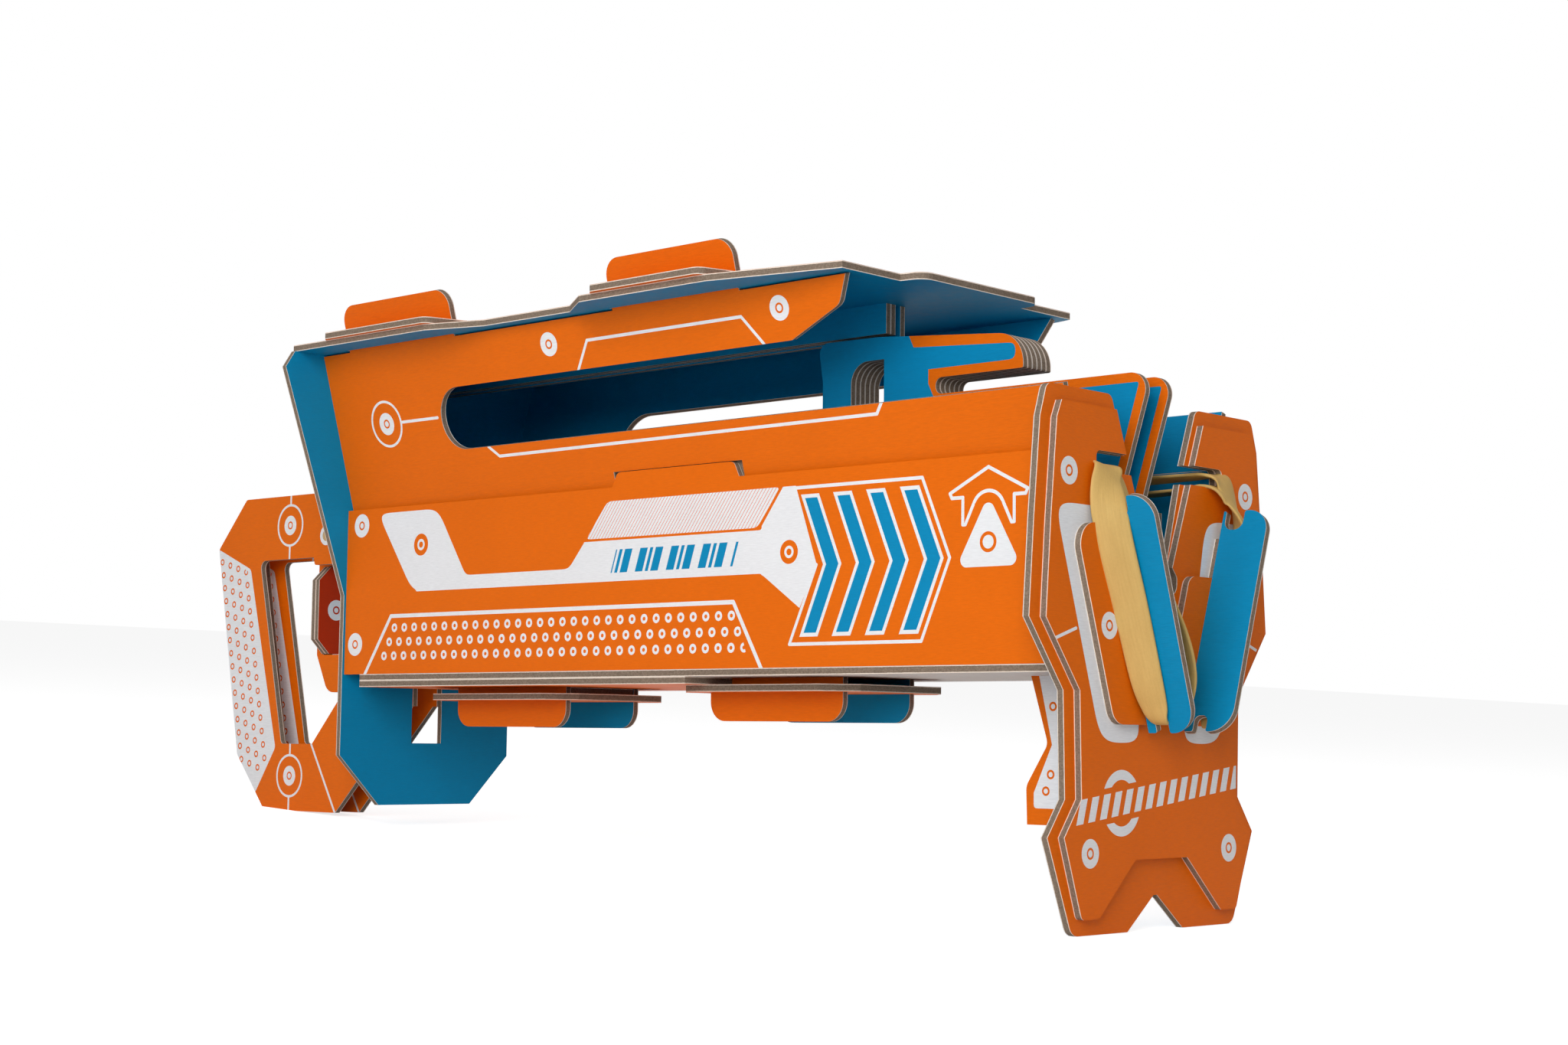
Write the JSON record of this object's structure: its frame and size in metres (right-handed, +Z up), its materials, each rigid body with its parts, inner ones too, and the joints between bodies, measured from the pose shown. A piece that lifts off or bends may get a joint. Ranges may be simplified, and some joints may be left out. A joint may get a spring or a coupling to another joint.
{
  "type": "paper plane launcher",
  "caption": "Hand-held greyboard launcher: flared hollow body, D-shaped rear handle with trigger, and a sliding carriage drawn forward by two rubber bands.",
  "frame": {"origin": "front face of the outer front plate, on the middle plane, level with the lower edge of the side panels", "axes": "+X forward, the way a plane is launched; +Y to the left-hand side; +Z up"},
  "size_m": [0.4121, 0.1192, 0.1792],
  "materials": {
    "board_orange": "matte printed greyboard",
    "board_blue": "matte printed greyboard",
    "board_grey": "raw greyboard",
    "pin_wood": "raw",
    "band_rubber": "matte"
  },
  "bodies": {
    "launcher_body": {"deck_lock_front": "board_orange", "deck_lock_rear": "board_orange", "floor_board": "board_orange", "floor_doubler": "board_orange", "floor_lock_front": "board_orange", "floor_lock_rear": "board_orange", "floor_spacer": "board_grey", "fore_grip_left": "board_orange", "fore_grip_packing": "board_grey", "fore_grip_right": "board_orange", "front_plate_inner": "board_orange", "front_plate_outer": "board_orange", "handle_foot_packing": "board_grey", "handle_grip_packing": "board_grey", "handle_plate_left": "board_orange", "handle_plate_right": "board_orange", "inner_rail_left": "board_orange", "inner_rail_right": "board_orange", "link_guide": "board_grey", "lower_side_left": "board_orange", "lower_side_right": "board_orange", "paddle_pad_left": "board_orange", "paddle_pad_right": "board_orange", "paddle_wing_left": "board_blue", "paddle_wing_right": "board_blue", "rear_bulkhead": "board_blue", "rib_front": "board_grey", "rib_middle": "board_grey", "rib_rear": "board_grey", "rubber_band_left": "band_rubber", "rubber_band_right": "band_rubber", "runner_left": "board_grey", "runner_right": "board_grey", "sear_pin": "pin_wood", "spine_board_left": "board_grey", "spine_board_middle": "board_grey", "spine_board_right": "board_grey", "top_deck": "board_blue", "upper_side_left": "board_orange", "upper_side_right": "board_orange"},
    "carriage": {"carriage_outer_left": "board_blue", "carriage_outer_right": "board_blue", "carriage_core_1": "board_blue", "carriage_core_2": "board_blue", "carriage_core_3": "board_blue", "carriage_core_4": "board_blue", "carriage_shoe": "board_grey", "band_peg": "pin_wood"},
    "trigger": {"trigger_cheek_left": "board_orange", "trigger_cheek_right": "board_orange", "trigger_core": "board_grey", "trigger_pad_front": "board_orange", "trigger_pad_rear": "board_orange", "trigger_pin": "pin_wood"},
    "push_link": {"push_link": "board_grey"},
    "sear": {"sear": "board_grey"}
  },
  "joints": [
    {"name": "carriage_slide", "type": "slide", "parent": "launcher_body", "child": "carriage", "axis": [1, 0, 0], "range_m": [-0.145, 0], "stiffness_N_per_m": 90, "springref_m": 0.02, "deforming": ["rubber_band_left", "rubber_band_right"]},
    {"name": "trigger_hinge", "type": "hinge", "parent": "launcher_body", "child": "trigger", "pos_m": [-0.3312, 0, 0.0483], "axis": [0, 1, 0], "range_deg": [0, 12], "stiffness_Nm_per_rad": 0.25, "springref_deg": -8.59},
    {"name": "link_slide", "type": "slide", "parent": "launcher_body", "child": "push_link", "axis": [1, 0, 0], "range_m": [0, 0.00165]},
    {"name": "sear_hinge", "type": "hinge", "parent": "launcher_body", "child": "sear", "pos_m": [-0.2715, 0, 0.0495], "axis": [0, 1, 0], "range_deg": [0, 14]}
  ],
  "couplings": [
    {"joint": "link_slide", "follows": "trigger_hinge", "m_per_rad": 0.00764},
    {"joint": "sear_hinge", "follows": "trigger_hinge", "ratio": 1.122}
  ]
}
